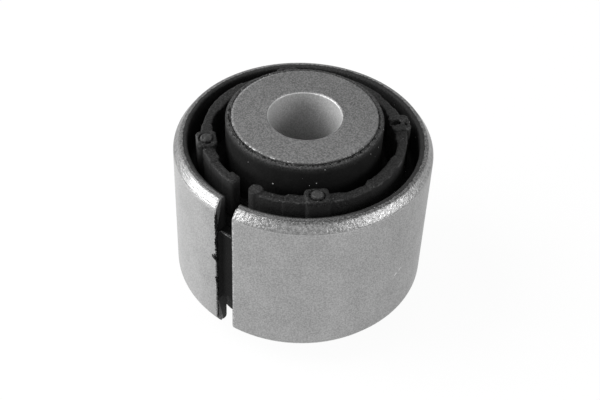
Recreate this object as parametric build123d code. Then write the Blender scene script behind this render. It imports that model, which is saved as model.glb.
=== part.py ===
from build123d import *
from math import cos, radians, sin
import os

# Rubber metal bush for a suspension arm, in millimetres and degrees.
# The origin is the centre of the bore at mid length, +Z runs along the bore
# and the slit of the outer sleeve faces -Y.
#
# The two sizes that meet other parts, the outside and the bore, lead. Between
# them lie, from the outside in, the pressed outer sleeve, a rubber lining, a
# groove, a hard ring that stiffens the rubber, a second groove and a rubber
# skin. The inner sleeve takes up the rest.

OUTER_DIAMETER = 52.0
BORE_DIAMETER = 14.6

# Outer sleeve
OUTER_SLEEVE_LENGTH = 34.0
OUTER_SLEEVE_WALL = 2.0
RIM_LAND = 0.7
RIM_LAND_RADIUS = 0.4
RIM_BEVEL_LENGTH = 1.9
RIM_BEVEL_RADIUS = 1.8
SLIT_WIDTH = 3.8
SLIT_CORNER_RADIUS = 0.4

# Inner sleeve
INNER_SLEEVE_LENGTH = 45.0
INNER_SLEEVE_EDGE_RADIUS = 0.2
BORE_CHAMFER = 0.3

# Rubber
LINING_THICKNESS = 0.9
LINING_SETBACK = 0.2
OUTER_GROOVE_WIDTH = 2.6
OUTER_WEB_LENGTH = 17.6
INNER_GROOVE_WIDTH = 2.5
INNER_WEB_LENGTH = 19.0
GROOVE_ROOT_RADIUS = 0.9
SKIN_THICKNESS = 1.1
SKIN_SETBACK = 0.4
SKIN_LIP_RADIUS = 0.3
PARTING_GROOVE_WIDTH = 0.35
PARTING_GROOVE_DEPTH = 0.5
SLIT_FILL_RISE = 0.7
SLIT_FILM_THICKNESS = 0.35
SLIT_FILM_SETBACK = 0.15

# Intermediate ring: one open band with thicker pads along it
RING_WALL = 2.4
RING_LENGTH = 36.0
RING_EDGE_CHAMFER = 0.2
BAND_INNER_RELIEF = 0.45
BAND_OUTER_RELIEF = 0.12
BAND_END_STEP = 0.15
PAD_TAPER = 3.0
LONG_PAD_ANGLES = [0, 90, 180]
LONG_PAD_HALF_SPAN = 16.5
BOSS_PAD_REACH = 16.0
SLIT_PAD_REACH = 18.6

# Bosses of the ring, each with a pip in a round recess
PIP_DIAMETER = 2.5
PIP_STAND = 0.4
PIP_EDGE_RADIUS = 0.4
RECESS_GAP = 0.35
RECESS_DEPTH = 0.5
BOSS_SIDE_WALL = 0.75
BOSS_RADIAL_WALL = 0.4
BOSS_OFFSET = 0.1
BOSS_STAND = 0.7
LOW_BOSS_STAND = 0.25
BOSS_CORNER_RADIUS = 1.0
BOSS_EDGE_RADIUS = 0.25
# The ring's free end springs inwards, and its boss with it
FREE_END_OFFSET = -0.2
# Angle, reach of its pad before and after it, offset and stand of each boss
BOSSES = [
    (-135, BOSS_PAD_REACH, SLIT_PAD_REACH, BOSS_OFFSET, BOSS_STAND),
    (-47.5, SLIT_PAD_REACH, BOSS_PAD_REACH, FREE_END_OFFSET, BOSS_STAND),
    (45, BOSS_PAD_REACH, BOSS_PAD_REACH, BOSS_OFFSET, BOSS_STAND),
    (135, BOSS_PAD_REACH, BOSS_PAD_REACH, BOSS_OFFSET, LOW_BOSS_STAND),
]

# Ends of the ring, on both sides of the slit
SLIT_ANGLE = -90
LUG_END_ANGLE = 6.1
LUG_SPAN = 8.0
LUG_CORNER_RADIUS = 0.6
PIN_ANGLE = 6.9
PIN_DIAMETER = 2.9

# Radii that follow, from the outside in
outer_sleeve_radius = OUTER_DIAMETER / 2
lining_outer_radius = outer_sleeve_radius - OUTER_SLEEVE_WALL
lining_inner_radius = lining_outer_radius - LINING_THICKNESS
ring_outer_radius = lining_inner_radius - OUTER_GROOVE_WIDTH
ring_inner_radius = ring_outer_radius - RING_WALL
ring_middle_radius = (ring_inner_radius + ring_outer_radius) / 2
skin_radius = ring_inner_radius - INNER_GROOVE_WIDTH
inner_sleeve_radius = skin_radius - SKIN_THICKNESS
bore_radius = BORE_DIAMETER / 2

# Heights that follow, from mid length to one end
skin_height = INNER_SLEEVE_LENGTH / 2 - SKIN_SETBACK
lining_height = OUTER_SLEEVE_LENGTH / 2 - LINING_SETBACK
ring_height = RING_LENGTH / 2

# Sizes of a boss that follow from its pip
recess_diameter = PIP_DIAMETER + 2 * RECESS_GAP
boss_width = recess_diameter + 2 * BOSS_SIDE_WALL
boss_depth = recess_diameter + 2 * BOSS_RADIAL_WALL

FULL_TURN = 360
# How close two coordinates are when they are taken as the same
SAME_PLACE = 0.001


def polar(radius, angle):
    """Return the point at this radius and angle in the plane of the ring."""
    return (radius * cos(radians(angle)), radius * sin(radians(angle)))


def revolved_band(inner, outer, half_length):
    """Return the section of a straight tube, ready to fillet and revolve."""
    width = outer - inner
    return Plane.XZ * Pos(inner + width / 2, 0) * Rectangle(width, 2 * half_length)


def corners_at(section, radius, height):
    """Return the section's corners at this radius, at both ends."""
    return [
        corner
        for corner in section.vertices()
        if abs(corner.X - radius) < SAME_PLACE and abs(abs(corner.Z) - height) < SAME_PLACE
    ]


def end_edges(solid, height):
    """Return the edges that bound the two flat ends of an upright solid."""
    return [
        edge
        for edge in solid.edges()
        if all(abs(abs(corner.Z) - height) < SAME_PLACE for corner in edge.vertices())
        and edge.bounding_box().size.Z < SAME_PLACE
    ]


def sector(inner, outer, start, end):
    """Return a flat annular sector between two angles."""
    middle = (start + end) / 2
    outline = [
        ThreePointArc(polar(outer, start), polar(outer, middle), polar(outer, end)),
        Line(polar(outer, end), polar(inner, end)),
        ThreePointArc(polar(inner, end), polar(inner, middle), polar(inner, start)),
        Line(polar(inner, start), polar(outer, start)),
    ]
    return make_face(Curve() + outline)


def pad_outline(start, end):
    """Return a thick stretch of the ring whose inside tapers at both ends."""
    band_inner = ring_inner_radius + BAND_INNER_RELIEF
    middle = (start + end) / 2
    inner_start = polar(ring_inner_radius, start + PAD_TAPER)
    inner_end = polar(ring_inner_radius, end - PAD_TAPER)
    outline = [
        ThreePointArc(
            polar(ring_outer_radius, start),
            polar(ring_outer_radius, middle),
            polar(ring_outer_radius, end),
        ),
        Line(polar(ring_outer_radius, end), polar(band_inner, end)),
        Line(polar(band_inner, end), inner_end),
        ThreePointArc(inner_end, polar(ring_inner_radius, middle), inner_start),
        Line(inner_start, polar(band_inner, start)),
        Line(polar(band_inner, start), polar(ring_outer_radius, start)),
    ]
    return make_face(Curve() + outline)


def upright(outline, height, edge_chamfer):
    """Extrude an outline to both sides of mid length and break its end edges."""
    block = extrude(outline, height, both=True)
    return chamfer(end_edges(block, height), edge_chamfer)


def ring_band():
    """Return the open band that carries every pad of the ring."""
    start = SLIT_ANGLE + PIN_ANGLE
    end = SLIT_ANGLE - LUG_END_ANGLE - LUG_SPAN / 2 + FULL_TURN
    outline = sector(
        ring_inner_radius + BAND_INNER_RELIEF,
        ring_outer_radius - BAND_OUTER_RELIEF,
        start,
        end,
    )
    return upright(outline, ring_height - BAND_END_STEP, RING_EDGE_CHAMFER)


def ring_pads():
    """Return the long pads and the pads that flank each boss."""
    spans = [(angle - LONG_PAD_HALF_SPAN, angle + LONG_PAD_HALF_SPAN) for angle in LONG_PAD_ANGLES]
    spans += [(angle - before, angle + after) for angle, before, after, *_ in BOSSES]
    return [upright(pad_outline(*span), ring_height, RING_EDGE_CHAMFER) for span in spans]


def boss(angle, offset, stand):
    """Return one upright boss with a pip in a recess at both ends."""
    height = ring_height + stand
    pip_height = height + PIP_STAND
    outline = RectangleRounded(boss_depth, boss_width, BOSS_CORNER_RADIUS)
    block = extrude(outline, height, both=True)
    block = fillet(end_edges(block, height), BOSS_EDGE_RADIUS)
    for end in (-1, 1):
        recess = Pos(0, 0, end * (height - RECESS_DEPTH / 2))
        block -= recess * Cylinder(recess_diameter / 2, RECESS_DEPTH)
    pip = Cylinder(PIP_DIAMETER / 2, 2 * pip_height)
    pip = fillet(end_edges(pip, pip_height), PIP_EDGE_RADIUS)
    return Rot(0, 0, angle) * Pos(ring_middle_radius + offset, 0) * (block + pip)


def ring_ends():
    """Return the square lug and the round pin that face each other at the slit."""
    lug_end = SLIT_ANGLE - LUG_END_ANGLE
    lug = sector(ring_inner_radius, ring_outer_radius, lug_end - LUG_SPAN, lug_end)
    lug = fillet(lug.vertices().sort_by(Axis.X)[-2:], LUG_CORNER_RADIUS)
    pin_place = polar(ring_middle_radius + FREE_END_OFFSET, SLIT_ANGLE + PIN_ANGLE)
    pin = Pos(*pin_place) * Circle(PIN_DIAMETER / 2)
    return [upright(outline, ring_height, RING_EDGE_CHAMFER) for outline in (lug, pin)]


def intermediate_ring():
    """Return the hard ring moulded into the rubber."""
    ring = ring_band()
    bosses = [boss(angle, offset, stand) for angle, *_, offset, stand in BOSSES]
    ring += ring_pads() + ring_ends() + bosses
    return ring


def inner_sleeve():
    """Return the thick tube that the bolt clamps."""
    half_length = INNER_SLEEVE_LENGTH / 2
    section = revolved_band(bore_radius, inner_sleeve_radius, half_length)
    section = chamfer(corners_at(section, bore_radius, half_length), BORE_CHAMFER)
    outer_corners = corners_at(section, inner_sleeve_radius, half_length)
    section = fillet(outer_corners, INNER_SLEEVE_EDGE_RADIUS)
    return revolve(section, Axis.Z)


def slit_block(outline, inner, outer):
    """Return the block that an outline across the slit fills between two radii."""
    outwards = (*polar(1, SLIT_ANGLE), 0)
    facing = Plane(origin=(*polar(inner, SLIT_ANGLE), 0), x_dir=(0, 0, 1), z_dir=outwards)
    return extrude(facing * outline, outer - inner)


def slit_outline(length):
    """Return the slit as seen from outside, flared where its corners are rounded."""
    reach = SLIT_WIDTH + 2 * SLIT_CORNER_RADIUS
    outline = Rectangle(length, reach)
    cheek = RectangleRounded(length, reach, SLIT_CORNER_RADIUS)
    for side in (-1, 1):
        outline -= Pos(0, side * (SLIT_WIDTH + reach) / 2) * cheek
    return outline


def outer_sleeve():
    """Return the slit sleeve with both rims bevelled for pressing in."""
    half_length = OUTER_SLEEVE_LENGTH / 2
    land_radius = lining_outer_radius + RIM_LAND
    bevel_start = half_length - RIM_BEVEL_LENGTH
    section = Plane.XZ * Polygon(
        (lining_outer_radius, -half_length),
        (land_radius, -half_length),
        (outer_sleeve_radius, -bevel_start),
        (outer_sleeve_radius, bevel_start),
        (land_radius, half_length),
        (lining_outer_radius, half_length),
        align=None,
    )
    section = fillet(corners_at(section, land_radius, half_length), RIM_LAND_RADIUS)
    section = fillet(corners_at(section, outer_sleeve_radius, bevel_start), RIM_BEVEL_RADIUS)
    slit = slit_block(slit_outline(OUTER_SLEEVE_LENGTH), lining_inner_radius, OUTER_DIAMETER)
    return revolve(section, Axis.Z) - slit


def rubber_section():
    """Return the rubber's section: skin, two webs and lining, with rounded roots."""
    skin = revolved_band(inner_sleeve_radius, skin_radius, skin_height)
    inner_web = revolved_band(skin_radius, ring_middle_radius, INNER_WEB_LENGTH / 2)
    outer_web = revolved_band(ring_middle_radius, lining_inner_radius, OUTER_WEB_LENGTH / 2)
    lining = revolved_band(lining_inner_radius, lining_outer_radius, lining_height)
    section = skin + inner_web + outer_web + lining
    roots = corners_at(section, skin_radius, INNER_WEB_LENGTH / 2)
    roots += corners_at(section, lining_inner_radius, OUTER_WEB_LENGTH / 2)
    section = fillet(roots, GROOVE_ROOT_RADIUS)
    section = fillet(corners_at(section, skin_radius, skin_height), SKIN_LIP_RADIUS)
    for end in (-1, 1):
        middle = inner_sleeve_radius + PARTING_GROOVE_WIDTH / 2
        height = end * (skin_height - PARTING_GROOVE_DEPTH / 2)
        groove = Rectangle(PARTING_GROOVE_WIDTH, PARTING_GROOVE_DEPTH)
        section -= Plane.XZ * Pos(middle, height) * groove
    return section


def slit_fill():
    """Return the rubber that stands in the slit, with a film up both cut faces."""
    film_radius = outer_sleeve_radius - SLIT_FILM_SETBACK
    fill_radius = lining_outer_radius + SLIT_FILL_RISE
    whole = Rectangle(OUTER_WEB_LENGTH, SLIT_WIDTH)
    channel = Rectangle(OUTER_WEB_LENGTH, SLIT_WIDTH - 2 * SLIT_FILM_THICKNESS)
    fill = slit_block(whole, lining_inner_radius, outer_sleeve_radius)
    fill &= Cylinder(film_radius, OUTER_WEB_LENGTH)
    return fill - slit_block(channel, fill_radius, outer_sleeve_radius)


def rubber_body(ring):
    """Return the rubber that bonds the two sleeves round the ring."""
    rubber = revolve(rubber_section(), Axis.Z) - ring
    groove_middle = lining_inner_radius - OUTER_GROOVE_WIDTH / 2
    lining_slit = slit_block(
        slit_outline(OUTER_SLEEVE_LENGTH), groove_middle, outer_sleeve_radius
    )
    web_keeper = Cylinder(outer_sleeve_radius, OUTER_WEB_LENGTH)
    return rubber - (lining_slit - web_keeper) + slit_fill()


def main():
    os.makedirs("parts", exist_ok=True)
    ring = intermediate_ring()
    nodes = {
        "outer_sleeve": outer_sleeve(),
        "inner_sleeve": inner_sleeve(),
        "intermediate_ring": ring,
        "rubber_body": rubber_body(ring),
    }
    for name, shape in nodes.items():
        export_step(shape, f"parts/{name}.step")


main()
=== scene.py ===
# %% [markdown]
# # A rubber metal bush
# The bush joins a suspension arm to a bracket and keeps the road's shake out.
# It is four real pieces: a slit outer sleeve, a thick inner sleeve, a hard
# ring and the rubber that bonds them. Their shapes and places come from the
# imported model, so this script gives the sleeves their finish, breaks and
# roughens the ring, pours the rubber again with its torn edges, and lights
# them all.

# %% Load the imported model
from math import atan2, cos, pi, radians, sin

import bmesh
import bpy
from mathutils import Matrix, Vector, noise


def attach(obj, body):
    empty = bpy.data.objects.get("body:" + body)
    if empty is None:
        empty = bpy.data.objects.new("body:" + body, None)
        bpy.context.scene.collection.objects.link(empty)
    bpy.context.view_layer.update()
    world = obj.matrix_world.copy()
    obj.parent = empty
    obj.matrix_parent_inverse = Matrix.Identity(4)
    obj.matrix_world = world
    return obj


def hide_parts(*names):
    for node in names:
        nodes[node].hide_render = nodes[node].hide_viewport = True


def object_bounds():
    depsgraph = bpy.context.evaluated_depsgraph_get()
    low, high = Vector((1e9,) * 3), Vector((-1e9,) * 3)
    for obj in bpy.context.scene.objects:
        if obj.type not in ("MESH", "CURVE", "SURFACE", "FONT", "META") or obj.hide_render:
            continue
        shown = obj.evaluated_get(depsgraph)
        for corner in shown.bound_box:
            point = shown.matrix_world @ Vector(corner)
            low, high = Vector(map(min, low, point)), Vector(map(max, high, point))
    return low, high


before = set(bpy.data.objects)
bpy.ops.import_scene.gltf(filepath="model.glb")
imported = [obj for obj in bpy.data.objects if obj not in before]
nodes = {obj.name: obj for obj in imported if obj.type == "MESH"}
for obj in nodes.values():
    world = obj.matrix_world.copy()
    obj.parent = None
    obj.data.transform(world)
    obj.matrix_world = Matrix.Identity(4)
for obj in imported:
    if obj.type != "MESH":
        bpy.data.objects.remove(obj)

cad_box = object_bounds()
MM = 0.001
print("CAD box in mm:", [[round(v / MM, 2) for v in corner] for corner in cad_box])

# %% [markdown]
# ## Sizes
# Sizes and places are written in millimetres. The bore runs along Z through
# the origin, and the slit faces -Y. Both ends of the bush are alike, so one
# height does for both. The sleeves' radii and heights are measured on the
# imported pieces, and what is added here is set out from them.


# %% Sizes of the sleeves
def reach(node):
    """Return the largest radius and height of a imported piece."""
    points = [point.co / MM for point in nodes[node].data.vertices]
    return round(max(p.xy.length for p in points), 2), round(max(p.z for p in points), 2)


OUTER_SLEEVE_R, OUTER_SLEEVE_TOP = reach("outer_sleeve")
INNER_SLEEVE_R, INNER_SLEEVE_TOP = reach("inner_sleeve")
OUTER_SLEEVE_WALL = 2.0
SLIT_HALF = 1.9
BORE_R = 7.3
print("the outer sleeve reaches", OUTER_SLEEVE_R, "out and", OUTER_SLEEVE_TOP, "up")
print("the inner sleeve reaches", INNER_SLEEVE_R, "out and", INNER_SLEEVE_TOP, "up")

# %% [markdown]
# ## The camera
# The studio camera looks down into the bush from the side of the slit. It is
# placed by its distance, its turn round the bore and its height, and then it
# is rolled a little, as a hand-levelled camera is.

# %% Camera
CAMERA_DISTANCE = 244.5 * MM
CAMERA_TURN = radians(-56.6)
CAMERA_HEIGHT = radians(42.88)
CAMERA_ROLL = radians(2.67)
CAMERA_LENS = 70.32
AIM_RIGHT = -0.213 * MM
AIM_UP = -0.178 * MM


def way_to(turn, height):
    """Return the unit vector towards a turn round the bore and a height."""
    level = cos(height)
    return Vector((level * cos(turn), level * sin(turn), sin(height)))


def add_object(name, data):
    """Return a new object in the scene."""
    made = bpy.data.objects.new(name, data)
    bpy.context.scene.collection.objects.link(made)
    return made


way = way_to(CAMERA_TURN, CAMERA_HEIGHT)
camera_place = way * CAMERA_DISTANCE
right = (-way).cross(Vector((0, 0, 1))).normalized()
up = right.cross(-way)
aim = right * AIM_RIGHT + up * AIM_UP
look = (aim - camera_place).normalized()
right = look.cross(up).normalized()
up = right.cross(look)
rolled_right = right * cos(CAMERA_ROLL) + up * sin(CAMERA_ROLL)
rolled_up = up * cos(CAMERA_ROLL) - right * sin(CAMERA_ROLL)

camera_data = bpy.data.cameras.new("studio_camera")
camera_data.lens = CAMERA_LENS
camera_data.clip_start = 10 * MM
camera = add_object("studio_camera", camera_data)
turn = Matrix((rolled_right, rolled_up, -look)).transposed().to_4x4()
camera.matrix_world = Matrix.Translation(camera_place) @ turn
bpy.context.scene.camera = camera
print("camera in mm:", [round(v / MM, 1) for v in camera_place])

# %% [markdown]
# ## Writing materials as formulas
# A finish is easier to read as a formula than as a drawing of nodes. `Wire`
# wraps one socket, so that `1 - mask * 0.5` adds its own Math nodes, and
# `Diagram.node` adds any other node from its type, settings and sockets.


# %% A socket that can be reckoned with
def add_math(operation, *terms):
    """Add one Math node over numbers and wires, and return its result."""
    diagram = next(term.diagram for term in terms if isinstance(term, Wire))
    return diagram.node("ShaderNodeMath", {"operation": operation}, dict(enumerate(terms)))


class Wire:
    """One output socket of a diagram. Arithmetic on it adds Math nodes."""

    def __init__(self, diagram, socket):
        self.diagram = diagram
        self.socket = socket

    def __add__(self, other):
        return add_math("ADD", self, other)

    def __radd__(self, other):
        return add_math("ADD", other, self)

    def __sub__(self, other):
        return add_math("SUBTRACT", self, other)

    def __rsub__(self, other):
        return add_math("SUBTRACT", other, self)

    def __mul__(self, other):
        return add_math("MULTIPLY", self, other)

    def __rmul__(self, other):
        return add_math("MULTIPLY", other, self)

    def __abs__(self):
        return add_math("ABSOLUTE", self)


# %% A node tree written as a formula
class Diagram:
    """A node tree and the few helpers that a formula needs."""

    def __init__(self, tree):
        self.tree = tree
        tree.nodes.clear()

    def node(self, kind, settings=None, inputs=None, output=0):
        """Add a node, set its settings, fill its sockets and return one output."""
        made = self.tree.nodes.new(kind)
        for name, value in (settings or {}).items():
            setattr(made, name, value)
        for name, value in (inputs or {}).items():
            if isinstance(value, Wire):
                self.tree.links.new(value.socket, made.inputs[name])
            else:
                made.inputs[name].default_value = value
        return None if output is None else Wire(self, made.outputs[output])

    def vector(self, operation, first, second=None, output=0, **inputs):
        """Add one Vector Math node."""
        inputs[0] = first
        if second is not None:
            inputs[1] = second
        return self.node("ShaderNodeVectorMath", {"operation": operation}, inputs, output)

    def step(self, value, low, high):
        """Return 0 below low and 1 above high, with a soft step between."""
        inputs = {"Value": value, "From Min": low, "From Max": high}
        return self.node("ShaderNodeMapRange", {"interpolation_type": "SMOOTHSTEP"}, inputs)

    def mix(self, factor, first, second):
        """Return the number that lies between two others."""
        return self.node("ShaderNodeMix", None, {0: factor, 2: first, 3: second})


# %% [markdown]
# `Pattern` adds what a material and a recipe for a shape have in common: where
# each point lies, in millimetres on the piece's own coordinates. A grain of
# 0.4 is then 0.4 mm wide, and stays where it is on the piece.

# %% A diagram that knows where each point lies
# Radius at which the length of a drawn noise is true
DRAWN_R = 25


class Pattern(Diagram):
    """A diagram with the place of each point and noises laid over it."""

    def __init__(self, tree, metres_kind, metres_output=0):
        super().__init__(tree)
        metres = self.node(metres_kind, output=metres_output)
        self.place = self.vector("SCALE", metres, Scale=1 / MM)
        self.x, self.y, self.z = (
            self.node("ShaderNodeSeparateXYZ", None, {0: self.place}, output=axis)
            for axis in "XYZ"
        )
        self.height = abs(self.z)
        self.flat = self.vector("MULTIPLY", self.place, (1, 1, 0))
        self.radius = self.vector("LENGTH", self.flat, output="Value")

    def noise(self, size, detail=2.0, stretch=(1, 1, 1)):
        """Return a noise from 0 to 1 whose grains are about size wide."""
        place = self.vector("MULTIPLY", self.place, stretch)
        inputs = {"Vector": place, "Scale": 1 / size, "Detail": detail}
        return self.node("ShaderNodeTexNoise", None, inputs)

    def drawn_noise(self, width, length, detail=2.0):
        """Return a noise from 0 to 1 whose grains are drawn out round the bore."""
        along = abs(add_math("ARCTAN2", self.y, self.x)) * (DRAWN_R / length)
        parts = {"X": self.radius * (1 / width), "Y": self.height * (1 / width), "Z": along}
        place = self.node("ShaderNodeCombineXYZ", None, parts)
        inputs = {"Vector": place, "Scale": 1.0, "Detail": detail}
        return self.node("ShaderNodeTexNoise", None, inputs)

    def distance(self, first, second):
        """Return how far one place lies from another."""
        apart = self.vector("SUBTRACT", first, second)
        return self.vector("LENGTH", apart, output="Value")


# %% A material written as a formula
class Finish(Pattern):
    """A material for one of the bush's finishes."""

    def __init__(self, name):
        self.material = bpy.data.materials.new(name)
        self.material.use_nodes = True
        super().__init__(self.material.node_tree, "ShaderNodeTexCoord", "Object")

    def grey(self, strength):
        """Return a neutral colour of this brightness."""
        return self.vector("SCALE", (1, 1, 1), Scale=strength)

    def bump(self, height, depth):
        """Return a normal for relief that is depth millimetres deep."""
        return self.node("ShaderNodeBump", None, {"Height": height, "Distance": depth * MM})

    def surface(self, **sockets):
        """Close the finish with a Principled shader. Names use _ for a space."""
        inputs = {name.replace("_", " "): value for name, value in sockets.items()}
        shader = self.node("ShaderNodeBsdfPrincipled", None, inputs)
        self.node("ShaderNodeOutputMaterial", None, {"Surface": shader}, output=None)
        print(self.material.name, "is drawn with", len(self.tree.nodes), "nodes")
        return self.material


# %% [markdown]
# A recipe is the same idea for shapes: a Geometry Nodes tree with named sizes.
# `cook` gives a mesh the recipe, reads the result back as a plain mesh and
# takes the modifier off again.


# %% A shape written as a formula
def apply_modifiers(piece):
    """Turn what a piece's modifiers show into its plain mesh."""
    depsgraph = bpy.context.evaluated_depsgraph_get()
    mesh = bpy.data.meshes.new_from_object(piece.evaluated_get(depsgraph))
    piece.modifiers.clear()
    piece.data = mesh


class Recipe(Pattern):
    """A Geometry Nodes tree whose sizes are named inputs."""

    def __init__(self, name, **sizes):
        tree = bpy.data.node_groups.new(name, "GeometryNodeTree")
        super().__init__(tree, "GeometryNodeInputPosition")
        sides = tree.interface
        sides.new_socket("Geometry", in_out="INPUT", socket_type="NodeSocketGeometry")
        sides.new_socket("Geometry", in_out="OUTPUT", socket_type="NodeSocketGeometry")
        for size, value in sizes.items():
            kind = "NodeSocketInt" if isinstance(value, int) else "NodeSocketFloat"
            socket = sides.new_socket(size, in_out="INPUT", socket_type=kind)
            socket.default_value = value
        start = tree.nodes.new("NodeGroupInput")
        self.start = Wire(self, start.outputs[0])
        self.sizes = {size: Wire(self, start.outputs[size]) for size in sizes}

    def shift(self, geometry, offset):
        """Move each point by an offset in millimetres."""
        metres = self.vector("SCALE", offset, Scale=MM)
        inputs = {"Geometry": geometry, "Offset": metres}
        return self.node("GeometryNodeSetPosition", None, inputs)

    def serve(self, geometry, material):
        """End the tree with real geometry that wears a material."""
        real = self.node("GeometryNodeRealizeInstances", None, {0: geometry})
        dressed = {"Geometry": real, "Material": material}
        worn = self.node("GeometryNodeSetMaterial", None, dressed)
        smooth = self.node("GeometryNodeSetShadeSmooth", None, {"Geometry": worn})
        self.node("NodeGroupOutput", None, {0: smooth}, output=None)
        return self

    def cook(self, name, mesh, **values):
        """Return a finished object that the recipe makes from a mesh."""
        piece = add_object(name, mesh)
        modifier = piece.modifiers.new("recipe", "NODES")
        modifier.node_group = self.tree
        for item in self.tree.interface.items_tree:
            if item.name in values:
                modifier[item.identifier] = values[item.name]
        apply_modifiers(piece)
        print(name, "has", len(piece.data.vertices), "points")
        return piece


# %% [markdown]
# ## The outer sleeve
# The sleeve is rolled from steel plate, blasted and coated. Its wall is a
# matte grey with a fine glitter, with painted light left of the slit and
# painted shade on its right side and on the right of the flat land inside the
# rim. Its bevelled rims were pressed by a tool: they are brighter and dimpled,
# and brushed into streaks just left of the slit. A dark film of rubber crept
# over the two cut faces of the slit when the bush was moulded, and painted
# shade darkens them further, with painted light towards the top. There is one
# short scratch on the right. A picture wrapped round the sleeve could show all
# this, but it would need seams, so each mark is a mask worked out from the
# point's own place.

# %% Marks on the outer sleeve
WALL_TONE = 0.33
RIM_TONE = 0.25
LAND_TONE = 0.2
# Tone of the cut faces: a rubber film and painted shade
FILM_AND_SHADE_TONE = 0.05
RIM_START = OUTER_SLEEVE_TOP - 1.85
EDGE_BLUR = 0.07
# The scratch on the right is two short lines end to end, placed as seen along X
SCRATCH_Y = -1.88
SCRATCH_Z = -2.52
SCRATCH_SLOPE = (0.905, 0.426)
SCRATCH_HALF_WIDTH = 0.15
SCRATCH_MIDDLE = 1.16
SCRATCH_GAP = 0.72


def scratch_mark(steel):
    """Return 1 along the scratch, which skips in its middle."""
    forward = steel.y - SCRATCH_Y
    upward = steel.z - SCRATCH_Z
    along = forward * -SCRATCH_SLOPE[0] - upward * SCRATCH_SLOPE[1]
    across = abs(forward * SCRATCH_SLOPE[1] - upward * SCRATCH_SLOPE[0])
    beside = steel.step(across, SCRATCH_HALF_WIDTH - EDGE_BLUR, SCRATCH_HALF_WIDTH + EDGE_BLUR)
    beyond = steel.step(abs(abs(along - SCRATCH_MIDDLE) - SCRATCH_GAP), 0.4, 0.5)
    return (1 - beside) * steel.step(steel.x, 20, 21) * (1 - beyond)


def wall_tone(steel, glitter, cloud, at_slit):
    """Return the tone of the coated wall, with painted light left of the slit and painted shade on the
    right.
    """
    patch = steel.step(steel.noise(7, 1), 0.5, 0.6)
    stain = steel.step(steel.noise(1.1, 4), 0.6, 0.72) * patch
    # Painted light lightens the wall left of the slit, and painted shade darkens its right side.
    painted_light_left = steel.step(steel.x * -1.0, 0, 9) * (1 - steel.step(steel.y, -16, 0))
    right = steel.step(steel.x, 19, 29)
    share = 0.68 + glitter * 0.36 + cloud * 0.32 - stain * 0.12 + painted_light_left * 0.2 - right * 0.15
    side = abs(steel.x) + (steel.noise(0.5, 3) - 0.5) * 0.9
    worn_edge = (1 - steel.step(side, SLIT_HALF + 0.1, SLIT_HALF + 0.6)) * at_slit
    share = share * (1 + worn_edge * glitter * 0.5)
    return WALL_TONE * share * (1 + scratch_mark(steel) * 0.9)


def land_tone(steel, glitter, dimple):
    """Return the tone of the flat land inside the rim, with painted shade on the right."""
    # Painted shade darkens the land towards the right, broken by the grain.
    painted_shade_right = steel.step(steel.x, 4, 20) * (1 - dimple * glitter) * 0.45
    front = steel.step(steel.y * -1.0, 8, 20) * 0.1
    return LAND_TONE * (0.6 + glitter * 0.6) * (1 - painted_shade_right) * (1 - front)


def film_and_shade_tone(steel, glitter, dimple):
    """Return the tone of the cut faces: a rubber film and painted shade, with painted light towards the
    top.
    """
    streak = steel.noise(0.7, 3, (1, 1, 0.25))
    # Painted light lightens the cut faces towards the top, where the film also thins.
    bare = steel.step(steel.z, 5, 14) * (0.45 + dimple * 0.55)
    crumbly = steel.step(steel.radius, 25.35, 25.7) * dimple * glitter
    return FILM_AND_SHADE_TONE * (0.4 + streak * 0.6 + glitter * 0.3 + bare * 2.1 + crumbly * 1.4)


# %% Finish of the outer sleeve
def outer_sleeve_finish():
    """Return blasted plate with pressed rims and dark cut faces."""
    steel = Finish("blasted_outer_sleeve")
    grain = steel.noise(0.3, 4)
    glitter = steel.step(grain, 0.34, 0.66)
    cloud = steel.noise(6, 4)
    at_slit = 1 - steel.step(steel.y, -23, -22)

    dimple = steel.step(steel.noise(0.5, 3), 0.36, 0.64)
    streaks = steel.step(steel.drawn_noise(0.25, 3.0), 0.35, 0.65)
    brushed = steel.step(steel.x, -16, -11) * (1 - steel.step(steel.x, -3, 1))
    pitted = steel.mix(brushed, dimple, streaks)
    rim_tone = RIM_TONE * (0.62 + pitted * 0.4 + glitter * 0.25)
    pressed = steel.height + grain * 0.16
    rim = steel.step(pressed, RIM_START - EDGE_BLUR, RIM_START + EDGE_BLUR)
    tone = steel.mix(rim, wall_tone(steel, glitter, cloud, at_slit), rim_tone)

    ragged = steel.radius + (steel.noise(0.4, 3) - 0.5) * 0.6
    land_r = OUTER_SLEEVE_R - 1.0
    land = (1 - steel.step(ragged, land_r - 0.25, land_r)) * steel.step(steel.height, 15.5, 16.2)
    tone = steel.mix(land, tone, land_tone(steel, glitter, dimple))

    creep = steel.noise(0.32, 3) * steel.mix(steel.step(steel.x, -1, 1), 0.75, 0.2)
    beside_slit = steel.step(abs(steel.x) - creep, SLIT_HALF - 0.04, SLIT_HALF)
    # The cut faces take the dark film and painted shade, and lose most of their metal shine.
    cut = (1 - beside_slit) * at_slit
    tone = steel.mix(cut, tone, film_and_shade_tone(steel, glitter, dimple))
    return steel.surface(
        Base_Color=steel.grey(tone),
        Metallic=1 - cut * 0.8,
        Roughness=steel.mix(rim, 0.5, 0.3 + glitter * 0.1),
        Normal=steel.bump(grain + rim * pitted * 0.9 + cloud, 0.045),
    )


def dress(node, material):
    """Give a carried-over piece its finish."""
    for slot in nodes[node].material_slots:
        slot.material = material
    print(node, "wears", material.name)


dress("outer_sleeve", outer_sleeve_finish())

# %% [markdown]
# ## The inner sleeve
# This thick tube is clamped by the bolt. Its end faces are blasted to a
# darker, sandy grey, with a painted highlight along the edge on the left and a
# ragged smear of rubber round the rim. The bore stays smoother and brighter,
# with painted shade towards its middle.

# %% Finish of the inner sleeve
FACE_TONE = 0.155
BORE_TONE = 0.5
SMEAR_TONE = 0.02
SMEAR_R = INNER_SLEEVE_R - 0.2
EDGE_HIGHLIGHT_R = INNER_SLEEVE_R - 0.55


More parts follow.
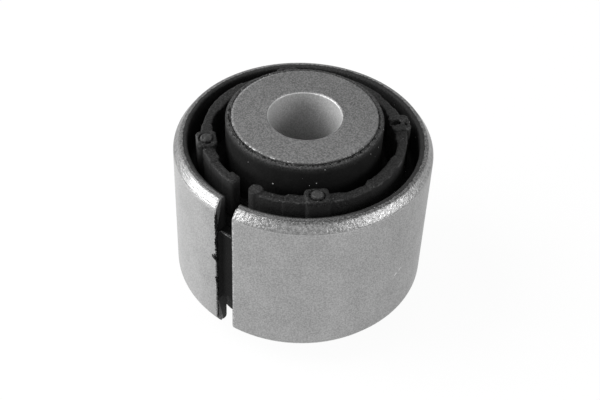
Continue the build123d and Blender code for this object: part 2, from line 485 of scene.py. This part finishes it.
def inner_sleeve_finish():
    """Return a sandy end face with a smoother bore."""
    steel = Finish("blasted_inner_sleeve")
    grain = steel.noise(0.28, 3)
    glitter = steel.step(grain, 0.34, 0.68)
    cloud = steel.noise(4, 3)

    shade = steel.step(steel.y, -2, 8) * 0.1
    face_tone = FACE_TONE * (0.6 + glitter * 0.7 + cloud * 0.2) * (1 - shade)
    # A painted highlight lightens the face's outer edge on the left, where the lamps are.
    leftward = steel.x * -0.84 - steel.y * 0.55
    uneven = steel.radius + (steel.noise(0.5, 2) - 0.5) * 0.3
    painted_edge_highlight = steel.step(uneven, EDGE_HIGHLIGHT_R, EDGE_HIGHLIGHT_R + 0.2) * steel.step(leftward, 2, 9)
    face_tone = face_tone * (1 + painted_edge_highlight * 0.5)

    # Painted shade darkens the bore towards its middle, where less light gets in.
    painted_depth_shade = steel.step(steel.height, 5, 18)
    bore_tone = BORE_TONE * (0.8 + glitter * 0.35) * (0.45 + painted_depth_shade * 0.5)
    face = steel.step(steel.radius, BORE_R + 0.02, BORE_R + 0.2)
    tone = steel.mix(face, bore_tone, face_tone)

    ragged = steel.radius + (steel.noise(0.5, 3) - 0.5) * 1.0
    smear = steel.step(ragged, SMEAR_R, SMEAR_R + 0.12)
    return steel.surface(
        Base_Color=steel.grey(steel.mix(smear, tone, SMEAR_TONE)),
        Metallic=steel.mix(face, 0.25, 1.0) * (1 - smear),
        Roughness=steel.mix(face, 0.42, 0.5),
        Normal=steel.bump(grain, 0.06),
    )


dress("inner_sleeve", inner_sleeve_finish())

# %% [markdown]
# ## The ring
# The ring stiffens the rubber. It is black plastic filled with glass fibre, so
# its tops are rough, dusty and a shade lighter than its walls, with painted
# light on the tops of the pips and of the torn ridge. A painted highlight runs
# along the pads' outer edges, and painted shade darkens the moat round each pip.

# %% Finish of the ring
# Turn and distance from the bore of each whole pip, and of the pin at the free end
PIPS = ((-135, 19.4), (-83.1, 19.1), (-47.5, 19.1), (135, 19.4))
PAD_TOP = 17.8
PIP_TOP = 18.85
FAR_AWAY = 9.0


def ring_finish():
    """Return glass-filled black plastic with rough, speckled tops."""
    plastic = Finish("moulded_ring")
    grain = plastic.noise(0.35, 4)
    speck = plastic.step(plastic.noise(0.35, 2), 0.68, 0.76)
    top = plastic.step(plastic.height, PAD_TOP - 0.4, PAD_TOP)
    away = FAR_AWAY
    for turn_degrees, radius in PIPS:
        pip = way_to(radians(turn_degrees), 0) * radius
        away = add_math("MINIMUM", plastic.distance(plastic.flat, pip), away)
    # Painted shade darkens the moat round each pip.
    painted_moat_shade = plastic.step(away, 1.15, 1.3) * (1 - plastic.step(away, 1.5, 1.8))

    dust_and_top_light = plastic.step(plastic.noise(0.28, 3), 0.4, 0.66) * 0.019
    # Dust, with painted light added on the pip tops and the torn ridge's top.
    dust_and_top_light = dust_and_top_light + (1 - plastic.step(away, 1.0, 1.2)) * plastic.noise(0.6, 2) * 0.02
    dust_and_top_light = dust_and_top_light + plastic.step(plastic.height, PIP_TOP, PIP_TOP + 0.2) * 0.015
    # A painted highlight lightens the pads' outer top edge, broken here and there.
    highlight_breaks = plastic.step(plastic.noise(2.6, 2), 0.52, 0.58)
    painted_pad_edge_highlight = plastic.step(plastic.radius, 20.25, 20.4) * highlight_breaks
    lighter = dust_and_top_light * (1 - painted_moat_shade * 0.7) + speck * 0.12 + painted_pad_edge_highlight * 0.028 - painted_moat_shade * 0.002
    return plastic.surface(
        Base_Color=plastic.grey(0.018 + top * (lighter - 0.012)),
        Roughness=0.5 + grain * 0.2,
        Specular_IOR_Level=0.15,
        Normal=plastic.bump(grain, 0.1),
    )


ring_plastic = ring_finish()

# %% [markdown]
# The ring of this bush has been handled: one pip is broken out towards the
# bore and leaves a low stump with a torn ridge, one is worn at its top, and
# the joints between the pads show as thin slots. Each of these is a solid that
# is joined to a merged copy of the ring or cut out of it, as a file and a
# knife would do.


# %% Solids to cut and join with
def add_solid(shape, turn_degrees, place, half_size, boxy=False):
    """Add a ball or a box: place is outwards, sideways and up, before the turn."""
    if boxy:
        made = bmesh.ops.create_cube(shape, size=2)
    else:
        made = bmesh.ops.create_icosphere(shape, subdivisions=2, radius=1)
    turn = Matrix.Rotation(radians(turn_degrees), 4, "Z")
    size = Matrix.Diagonal((*half_size, 1))
    move = Matrix.Scale(MM, 4) @ turn @ Matrix.Translation(place) @ size
    bmesh.ops.transform(shape, matrix=move, verts=made["verts"])


def solid_object(name, shape):
    """Close a shape into an object in the scene."""
    mesh = bpy.data.meshes.new(name)
    shape.to_mesh(mesh)
    print(name, "has", len(mesh.polygons), "faces")
    shape.free()
    return add_object(name, mesh)


# %% The broken and the worn pip
BROKEN_TURN = 45
STUMP = ((19.4, 0.0, 18.2), (1.85, 1.85, 0.49))
BROKEN_PIP = [
    ((18.6, -0.15, 18.8), (1.2, 0.72, 1.7)),
    ((17.4, 0.1, 18.9), (0.7, 0.9, 0.8)),
    ((20.55, -0.6, 18.8), (0.32, 0.65, 1.0)),
    ((19.4, 0.0, 19.6), (1.9, 1.9, 0.9)),
]
TORN_RIDGE = [(19.3, 0.6), (19.5, 0.1), (19.75, -0.45), (20.1, -0.1), (20.45, 0.3), (20.85, 0.6)]
RIDGE_UP = 18.75
RIDGE_HALF = (0.26, 0.26, 0.4)
WORN_TURN = -135
WORN_PIP = [
    ((18.9, 0.75, 19.3), (0.55, 0.5, 0.4)),
    ((20.1, 0.3, 19.35), (0.4, 0.6, 0.45)),
    ((19.3, -0.8, 19.35), (0.6, 0.35, 0.4)),
]

stumped = bmesh.new()
stumped.from_mesh(nodes["intermediate_ring"].data)
bmesh.ops.remove_doubles(stumped, verts=stumped.verts, dist=0.001 * MM)
add_solid(stumped, BROKEN_TURN, *STUMP, boxy=True)
moulded_ring = solid_object("moulded_ring", stumped)

ridge = bmesh.new()
for outwards, sideways in TORN_RIDGE:
    add_solid(ridge, BROKEN_TURN, (outwards, sideways, RIDGE_UP), RIDGE_HALF)
torn_ridge = solid_object("torn_ridge", ridge)

# %% The slots between the pads
PAD_JOINTS = (-163.5, -116.4, -66.1, -16.5, 16.5, 29, 61, 73.5, 106.5, 119, 151, 163.5)
JOINT_PLACE = (19.3, 0, 18.1)
JOINT_HALF = (2.2, 0.16, 0.4)

cuts = bmesh.new()
for place, half_size in BROKEN_PIP:
    add_solid(cuts, BROKEN_TURN, place, half_size)
for place, half_size in WORN_PIP:
    add_solid(cuts, WORN_TURN, place, half_size)
for turn_degrees in PAD_JOINTS:
    for end in (1, -1):
        outwards, sideways, upwards = JOINT_PLACE
        add_solid(cuts, turn_degrees, (outwards, sideways, upwards * end), JOINT_HALF, boxy=True)
ring_cuts = solid_object("ring_cuts", cuts)

# %% [markdown]
# Booleans take the cuts out and join the ridge. A voxel remesh then gives the
# ring an even skin of small faces, which Geometry Nodes push in and out, most
# on the tops. That skin is far finer than its flat walls need, so it is
# thinned at the end, where Decimate keeps the faces that carry relief.

# %% Break and skin the ring
VOXEL = 0.17


def combine(piece, operation, tool):
    """Cut a tool out of a piece, or join it to the piece."""
    modifier = piece.modifiers.new(tool.name, "BOOLEAN")
    modifier.operation = operation
    modifier.object = tool
    modifier.use_self = True


combine(moulded_ring, "DIFFERENCE", ring_cuts)
combine(moulded_ring, "UNION", torn_ridge)
even_skin = moulded_ring.modifiers.new("even_skin", "REMESH")
even_skin.mode = "VOXEL"
even_skin.voxel_size = VOXEL * MM
apply_modifiers(moulded_ring)
ring_skin = moulded_ring.data
for helper in (moulded_ring, ring_cuts, torn_ridge):
    bpy.data.objects.remove(helper)
print("the ring's even skin has", len(ring_skin.polygons), "faces")

# %% Roughen the ring
BLISTER = (17.0, -11.46, 16.6)
RING_SHARE = 0.22


def rough_ring():
    """Return the recipe that pushes the ring's skin in and out."""
    recipe = Recipe("rough_ring", Top_Relief=0.3, Wall_Relief=0.08, Blister=0.7)
    sizes = recipe.sizes
    top = recipe.step(recipe.height, PAD_TOP - 0.6, PAD_TOP)
    relief = recipe.mix(top, sizes["Wall_Relief"], sizes["Top_Relief"])
    blister = 1 - recipe.step(recipe.distance(recipe.place, BLISTER), 0.9, 1.6)
    depth = (recipe.noise(0.7, 3) - 0.5) * (relief + blister * sizes["Blister"])
    outwards = recipe.node("GeometryNodeInputNormal")
    moved = recipe.shift(recipe.start, recipe.vector("SCALE", outwards, Scale=depth))
    return recipe.serve(moved, ring_plastic)


moulded_ring = rough_ring().cook("moulded_ring", ring_skin)
thinner = moulded_ring.modifiers.new("fewer_faces", "DECIMATE")
thinner.ratio = RING_SHARE
apply_modifiers(moulded_ring)
moulded_ring.data.calc_loop_triangles()
print("the ring is thinned to", len(moulded_ring.data.loop_triangles), "triangles")
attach(moulded_ring, "root")
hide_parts("intermediate_ring")

# %% [markdown]
# ## The rubber
# The rubber is poured between the sleeves and round the ring, so its free
# surfaces are one section turned round the bore: a skin on the inner sleeve,
# two webs and a lining. The section is written as corners, filled with points
# where it shows, and swept round a circle by Geometry Nodes. The same tree
# roughens it, because moulded rubber tears where it leaves the mould. At the
# slit the lining stops, and the webs' rubber fills the gap instead.

# %% Sizes of the rubber
SKIN_R = INNER_SLEEVE_R + 1.1
SKIN_TOP = INNER_SLEEVE_TOP - 0.4
LINING_OUT_R = OUTER_SLEEVE_R - OUTER_SLEEVE_WALL
LINING_R = LINING_OUT_R - 0.9
LINING_TOP = OUTER_SLEEVE_TOP
INNER_WEB_TOP = 9.5
OUTER_WEB_TOP = 8.8
ROOT_R = 0.9
RING_MIDDLE_R = 19.3
# The fill of the slit: its front is nearer the bore on the left than on the right
FILL_LEFT_R = 24.95
FILL_RIGHT_R = 25.45
FILL_TOP = 9.4
FILL_LOW_LEFT = -9.2
FILL_LOW_RIGHT = -6.4
print("the lining is", round(LINING_OUT_R - LINING_R, 2), "mm thick")

# %% [markdown]
# The rubber is nearly black. What shows on it is dust: on the torn lips, on
# the lining near the rim, and as sand at the front where the lining's top was
# trimmed. A few pale specks lie on it. A painted highlight runs along the top
# edge of the slit's fill, and painted shade darkens the fill's front below it.


# %% Finish of the rubber
def rubber_finish():
    """Return black rubber whose ends are dusty and torn."""
    rubber = Finish("moulded_rubber")
    height = rubber.height
    ahead = rubber.y * -1.0
    grain = rubber.noise(0.5, 4)
    cloud = rubber.noise(2.2, 3)
    dust = rubber.step(rubber.noise(0.25, 3), 0.36, 0.7)
    speck = rubber.step(rubber.noise(0.5, 0), 0.845, 0.87)

    beside_lip = rubber.step(rubber.radius, SKIN_R - 0.4, SKIN_R + 0.05)
    lip = rubber.step(height, SKIN_TOP - 1.5, SKIN_TOP - 0.1) * (1 - beside_lip * 0.75)
    lining = rubber.step(rubber.radius, LINING_R - 0.3, LINING_R + 0.1)
    lining = lining * rubber.step(height, LINING_TOP - 3.5, LINING_TOP - 0.2)
    sand = rubber.step(rubber.radius, LINING_R + 0.35, LINING_R + 0.65)
    sand = sand * rubber.step(height, LINING_TOP - 0.25, LINING_TOP - 0.1)
    sand = sand * rubber.step(ahead, 8, 20) * rubber.step(rubber.x, -13, -4)

    # A painted highlight runs along the top edge of the slit's fill, brighter at its front edge.
    painted_fill_highlight = rubber.step(ahead, FILL_LEFT_R - 0.2, FILL_LEFT_R - 0.05)
    painted_fill_highlight = painted_fill_highlight * rubber.step(height, FILL_TOP - 0.3, FILL_TOP - 0.1)
    painted_fill_highlight = painted_fill_highlight * (1 - rubber.step(abs(rubber.x), SLIT_HALF - 0.4, SLIT_HALF - 0.25))
    painted_fill_edge_highlight = rubber.step(ahead - rubber.x * 0.14, 25.05, 25.15)
    # Painted shade darkens the fill's front below its top, down in the slit.
    painted_depth_shade = rubber.step(ahead, LINING_OUT_R + 0.2, LINING_OUT_R + 0.6)
    painted_depth_shade = painted_depth_shade * (1 - rubber.step(height, FILL_TOP - 0.5, FILL_TOP - 0.2))

    tone = 0.003 + cloud * 0.006 + lip * (0.015 + dust * 0.065) + lining * (0.01 + dust * 0.02)
    tone = tone * (1 - painted_depth_shade * 0.8) + sand * (0.04 + dust * 0.1)
    tone = tone + speck * (1 - painted_depth_shade) * 0.5 + painted_fill_highlight * dust * (0.14 + painted_fill_edge_highlight * 0.1)
    return rubber.surface(
        Base_Color=rubber.grey(tone),
        Roughness=0.55 + grain * 0.2,
        Specular_IOR_Level=0.1,
        Normal=rubber.bump(grain, 0.1),
    )


rubber = rubber_finish()


# %% The section of the rubber
def root_arc(centre, start_degrees, end_degrees, count=5):
    """Return points on the rounded root of a groove, as (radius, height)."""
    span = end_degrees - start_degrees
    angles = [radians(start_degrees + span * step / count) for step in range(count + 1)]
    return [(centre[0] + ROOT_R * cos(a), centre[1] + ROOT_R * sin(a)) for a in angles]


def fill_run(corners, spacing):
    """Return the corners with further points along each run, but not the last corner."""
    filled = []
    for start, end in zip(corners, corners[1:]):
        count = max(1, round(Vector((end[0] - start[0], end[1] - start[1])).length / spacing))
        filled += [
            (start[0] + (end[0] - start[0]) * k / count, start[1] + (end[1] - start[1]) * k / count)
            for k in range(count)
        ]
    return filled


# Corners of the lip, from the sleeve's edge, and of the film over the lining's top
LIP = [(0, -0.7), (0, 0.05), (0.2, 0.15), (0.6, 0.1), (0.92, 0), (1.05, -0.1), (1.1, -0.3), (1.1, -0.9)]
FILM = [(0, -1), (0, -0.5), (0.1, -0.15), (0.4, 0), (1, 0)]

lip = [(INNER_SLEEVE_R + out, SKIN_TOP + up) for out, up in LIP]
wall = [lip[-1], (SKIN_R, INNER_WEB_TOP + ROOT_R)]
inner_root = root_arc((SKIN_R + ROOT_R, INNER_WEB_TOP + ROOT_R), 180, 270)
webs = [inner_root[-1], (RING_MIDDLE_R, INNER_WEB_TOP), (RING_MIDDLE_R, OUTER_WEB_TOP)]
webs += [(LINING_R - ROOT_R, OUTER_WEB_TOP)]
outer_root = root_arc((LINING_R - ROOT_R, OUTER_WEB_TOP + ROOT_R), -90, 0)
film = [(LINING_R + out, LINING_TOP + up) for out, up in FILM]
lining = [outer_root[-1], film[0]]
back = [film[-1], (LINING_OUT_R + 0.05, LINING_TOP - 0.15)]
back += [(LINING_OUT_R, LINING_TOP - 0.3), (LINING_OUT_R, OUTER_WEB_TOP)]
upper = fill_run(lip, 0.11) + fill_run(wall, 0.6) + inner_root[:-1] + fill_run(webs, 0.7)
upper += outer_root[:-1] + fill_run(lining, 0.8) + fill_run(film, 0.17)
upper += fill_run(back, 4) + [back[-1]]
lower = [(radius, -height) for radius, height in reversed(upper)]
middle = fill_run([upper[-1], lower[0]], 1.1)[1:]
section = upper + middle + lower
print("the rubber's section has", len(section), "points")

# %% [markdown]
# Curve to Mesh lays a profile's first axis along the radius and its second
# one down the bore, so the section is written in that order. Its points are
# then moved: the lip drops where it tore, the lining's top is uneven, and the
# walls swell a little in and out.

# %% Sweep and roughen
COLUMNS = 480


def swept_rubber():
    """Return the recipe that turns the section and tears its lips."""
    recipe = Recipe("swept_rubber", Columns=COLUMNS, Tear=0.5, Crumb=0.4, Film=0.2, Swell=0.12)
    sizes = recipe.sizes
    profile = recipe.node("GeometryNodeMeshToCurve", None, {0: recipe.start})
    round_bore = {"Resolution": sizes["Columns"], "Radius": RING_MIDDLE_R * MM}
    path = recipe.node("GeometryNodeCurvePrimitiveCircle", None, round_bore)
    body = recipe.node("GeometryNodeCurveToMesh", None, {0: path, 1: profile})

    end = recipe.step(recipe.height, SKIN_TOP - 1.1, SKIN_TOP - 0.4)
    inside = 1 - recipe.step(recipe.radius, INNER_SLEEVE_R + 0.25, INNER_SLEEVE_R + 0.65)
    tear = recipe.step(recipe.noise(0.6, 3), 0.47, 0.6)
    drop = end * (inside * tear * sizes["Tear"] + (recipe.noise(0.45, 3) - 0.5) * sizes["Crumb"])
    top = recipe.step(recipe.height, LINING_TOP - 0.5, LINING_TOP - 0.2)
    top = top * recipe.step(recipe.radius, LINING_R - 0.1, LINING_R + 0.1)
    drop = drop + top * (recipe.noise(0.6, 3) - 0.5) * sizes["Film"]
    upright = recipe.node("ShaderNodeMath", {"operation": "SIGN"}, {0: recipe.z})
    down = recipe.node("ShaderNodeCombineXYZ", None, {2: drop * upright * -1.0})

    swell = (recipe.noise(3.0, 3) - 0.5) * sizes["Swell"]
    swell = swell * recipe.step(recipe.radius, INNER_SLEEVE_R + 0.4, INNER_SLEEVE_R + 1.0)
    outwards = recipe.vector("NORMALIZE", recipe.flat)
    sideways = recipe.vector("SCALE", outwards, Scale=swell)
    moved = recipe.shift(body, recipe.vector("ADD", sideways, down))
    return recipe.serve(moved, rubber)


profile_mesh = bpy.data.meshes.new("rubber_section")
points = [((r - RING_MIDDLE_R) * MM, -z * MM, 0) for r, z in section]
links = [(k, (k + 1) % len(points)) for k in range(len(points))]
profile_mesh.from_pydata(points, links, [])
bonded_rubber = swept_rubber().cook("bonded_rubber", profile_mesh)

# %% [markdown]
# The columns of the sweep that fall in the slit are moved to the fill. Its
# front stands a little inside the sleeve, but a film of it has crept up both
# cut faces, with an uneven edge.

# %% Open the slit
FILM_R = 25.7
EDGE_JITTER = 0.35
EDGE_WAVE = 0.5
# Distance from the middle of the slit of each column of points
SLIT_COLUMNS = (0.0, 0.5, 1.0, 1.5, 1.68, 1.88, SLIT_HALF)
FIRST_FILM_COLUMN = 4


def front_of_fill(column, slope, z):
    """Return the radius of the fill's front, or of the film's edge beside it."""
    if abs(column) >= FIRST_FILM_COLUMN:
        return FILM_R + EDGE_JITTER * noise.noise(Vector((column, 0, z / EDGE_WAVE)))
    return FILL_LEFT_R + slope * (FILL_RIGHT_R - FILL_LEFT_R)


def open_slit(mesh):
    """Move the lining's columns at the slit into the fill."""
    moved = 0
    for point in mesh.vertices:
        x, y, z = (value / MM for value in point.co)
        radius = Vector((x, y)).length
        column = round(atan2(x, -y) / (2 * pi) * COLUMNS)
        if abs(column) >= len(SLIT_COLUMNS) or radius < LINING_R - ROOT_R / 2:
            continue
        new_x = SLIT_COLUMNS[abs(column)] * (1 if column > 0 else -1)
        if abs(new_x) < SLIT_HALF:
            slope = (new_x + SLIT_HALF) / (2 * SLIT_HALF)
            share = (radius - LINING_R) / (LINING_OUT_R - LINING_R)
            share = min(1.0, max(0.0, share))
            radius = LINING_R + share * (front_of_fill(column, slope, z) - LINING_R)
            floor = FILL_LOW_LEFT + slope * (FILL_LOW_RIGHT - FILL_LOW_LEFT)
            z = max(floor, min(FILL_TOP, z))
        point.co = (new_x * MM, -((radius**2 - new_x**2) ** 0.5) * MM, z * MM)
        moved += 1
    print(moved, "points are moved at the slit")


open_slit(bonded_rubber.data)
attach(bonded_rubber, "root")
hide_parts("rubber_body")

# %% [markdown]
# ## Torn rubber
# Where the mould closed on the metal, thin rubber was squeezed out and torn
# off. It leaves crumbs round both ends of the inner sleeve and along the edges
# of the slit, and a few burrs that curl over its left edge. Geometry Nodes
# strew small stones of rubber along these edges, and skip a stretch here and
# there, as the tears do.


# %% Crumbs along an edge
def torn_crumbs():
    """Return the recipe that strews crumbs along the edges of a mesh."""
    recipe = Recipe("torn_crumbs", Spacing=0.2, Grain=0.13, Spread=0.16, Gaps=0.4, Seed=5)
    sizes = recipe.sizes

    def chance(low, high, draw):
        """Return a random vector for each point."""
        draws = {0: (low,) * 3, 1: (high,) * 3, 8: sizes["Seed"] + draw}
        return recipe.node("FunctionNodeRandomValue", {"data_type": "FLOAT_VECTOR"}, draws)

    path = recipe.node("GeometryNodeMeshToCurve", None, {0: recipe.start})
    spacing = {"Curve": path, "Length": sizes["Spacing"] * MM}
    points = recipe.node("GeometryNodeCurveToPoints", {"mode": "LENGTH"}, spacing)
    bare = add_math("LESS_THAN", recipe.noise(1.7, 2), sizes["Gaps"])
    points = recipe.node("GeometryNodeDeleteGeometry", None, {0: points, "Selection": bare})
    strewn = recipe.shift(points, recipe.vector("SCALE", chance(-1, 1, 0), Scale=sizes["Spread"]))
    stone = recipe.node("GeometryNodeMeshIcoSphere", None, {"Radius": sizes["Grain"] * MM})
    inputs = {"Points": strewn, "Instance": stone, "Rotation": chance(0, 2 * pi, 1)}
    inputs["Scale"] = chance(0.4, 1.3, 2)
    crumbs = recipe.node("GeometryNodeInstanceOnPoints", None, inputs)
    return recipe.serve(crumbs, rubber)


def edge_mesh(name, runs):
    """Return a mesh of edges along runs of points in millimetres."""
    mesh = bpy.data.meshes.new(name)
    points = [Vector(point) * MM for run in runs for point in run]
    edges = []
    first = 0
    for run in runs:
        edges += [(first + k, first + k + 1) for k in range(len(run) - 1)]
        first += len(run)
    mesh.from_pydata(points, edges, [])
    return mesh


def circle_run(radius, height, count=72):
    """Return a closed run of points round the bore."""
    angles = [2 * pi * k / count for k in range(count + 1)]
    return [(radius * cos(a), radius * sin(a), height) for a in angles]


# %% Crumbs of the lip and of the slit
CRUMB_R = INNER_SLEEVE_R + 0.12
CRUMB_HEIGHT = 22.05
LIP_RUNS = [circle_run(CRUMB_R, CRUMB_HEIGHT), circle_run(CRUMB_R, -CRUMB_HEIGHT)]
LEFT_EDGE = (-1.88, -25.86)
RIGHT_EDGE = (1.86, -25.6)
SLIT_RUNS = [
    [(*LEFT_EDGE, -14.6), (*LEFT_EDGE, 14.8)],
    [(*RIGHT_EDGE, -9), (*RIGHT_EDGE, 9)],
]
BURR_RUNS = [
    [(-1.95, -25.86, 4.6), (-2.0, -25.86, 6.4), (-1.95, -25.86, 8.2)],
    [(-1.9, -25.88, 8.8), (-1.94, -25.88, 14.0)],
    [(-2.0, -25.84, -4.3), (-2.0, -25.84, -3.0)],
    [(-1.9, -25.86, 1.7), (-2.5, -25.84, 2.2), (-2.9, -25.8, 2.9)],
    [(-2.1, -25.86, 2.2), (-2.4, -25.84, 3.3)],
]

crumbs = torn_crumbs()
lip_crumbs = crumbs.cook("lip_crumbs", edge_mesh("lip_path", LIP_RUNS))
finer = {"Spread": 0.14, "Grain": 0.12, "Spacing": 0.12}
slit_crumbs = crumbs.cook("slit_crumbs", edge_mesh("slit_path", SLIT_RUNS), **finer)
thicker = {"Spread": 0.16, "Grain": 0.2, "Spacing": 0.05, "Gaps": 0.2}
slit_burrs = crumbs.cook("slit_burrs", edge_mesh("burr_path", BURR_RUNS), **thicker)
for piece in (lip_crumbs, slit_crumbs, slit_burrs):
    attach(piece, "root")

# %% [markdown]
# ## The studio
# A pale floor lies under the bush. What the camera and polished metal see of
# the floor and of the surround is white, while their own light on the bush
# stays dim. The rest comes from four softboxes: a low and a high one on the
# left, a small one at the front left for the rim beside the slit, and a weaker
# one on the right.

# %% Floor
FLOOR_SIZE = 4.0
FLOOR_TONE = 0.9
FLOOR_GAP = 0.02 * MM
WHITE_SHARE = 0.95


def seen_white(diagram):
    """Return 1 for rays that show the background: camera, glossy, transmission."""
    names = ("Is Camera Ray", "Is Glossy Ray", "Is Transmission Ray")
    rays = [diagram.node("ShaderNodeLightPath", output=name) for name in names]
    return add_math("MINIMUM", rays[0] + rays[1] + rays[2], 1.0)


def white_paper():
    """Return matte paper that shows as white."""
    paper = Finish("white_paper")
    matte = paper.node("ShaderNodeBsdfDiffuse", None, {"Color": (FLOOR_TONE,) * 3 + (1,)})
    glow = paper.node("ShaderNodeEmission", None, {"Strength": 1.0})
    white = seen_white(paper) * WHITE_SHARE
    mixed = paper.node("ShaderNodeMixShader", None, {0: white, 1: matte, 2: glow})
    paper.node("ShaderNodeOutputMaterial", None, {"Surface": mixed}, output=None)
    return paper.material


floor_z = cad_box[0][2] - FLOOR_GAP
half = FLOOR_SIZE / 2
corners = [(x * half, y * half, floor_z) for x, y in ((-1, -1), (1, -1), (1, 1), (-1, 1))]
floor_mesh = bpy.data.meshes.new("studio_floor")
floor_mesh.from_pydata(corners, [], [(0, 1, 2, 3)])
floor_mesh.materials.append(white_paper())
floor = add_object("studio_floor", floor_mesh)
print("the floor lies", round(-floor_z / MM, 2), "mm below the middle of the bush")

# %% Softboxes
SOFTBOX_DISTANCE = 0.8


def softbox(name, turn_degrees, height_degrees, size, power):
    """Hang a square lamp that faces the bush."""
    lamp = bpy.data.lights.new(name, "AREA")
    lamp.size = size
    lamp.energy = power
    hung = add_object(name, lamp)
    way = way_to(radians(turn_degrees), radians(height_degrees))
    hung.location = way * SOFTBOX_DISTANCE
    hung.rotation_euler = way.to_track_quat("Z", "Y").to_euler()
    print(name, "hangs at", turn_degrees, "degrees round and", height_degrees, "up")


softbox("left_low_softbox", -140, 8, 0.5, 6)
softbox("left_high_softbox", -145, 48, 0.5, 6)
softbox("front_left_softbox", -112, 18, 0.16, 1.1)
softbox("right_softbox", 12, 20, 0.4, 3)

# %% [markdown]
# The surround gives an even, dim light of its own, and shows as white too.

# %% Surround
SURROUND_LIGHT = 0.35

world = bpy.data.worlds.new("studio_surround")
world.use_nodes = True
bpy.context.scene.world = world
surround = Diagram(world.node_tree)
strength = surround.mix(seen_white(surround), SURROUND_LIGHT, 1.0)
light = {"Color": (1, 1, 1, 1), "Strength": strength}
background = surround.node("ShaderNodeBackground", None, light)
surround.node("ShaderNodeOutputWorld", None, {"Surface": background}, output=None)

bpy.context.scene.view_settings.view_transform = "Standard"
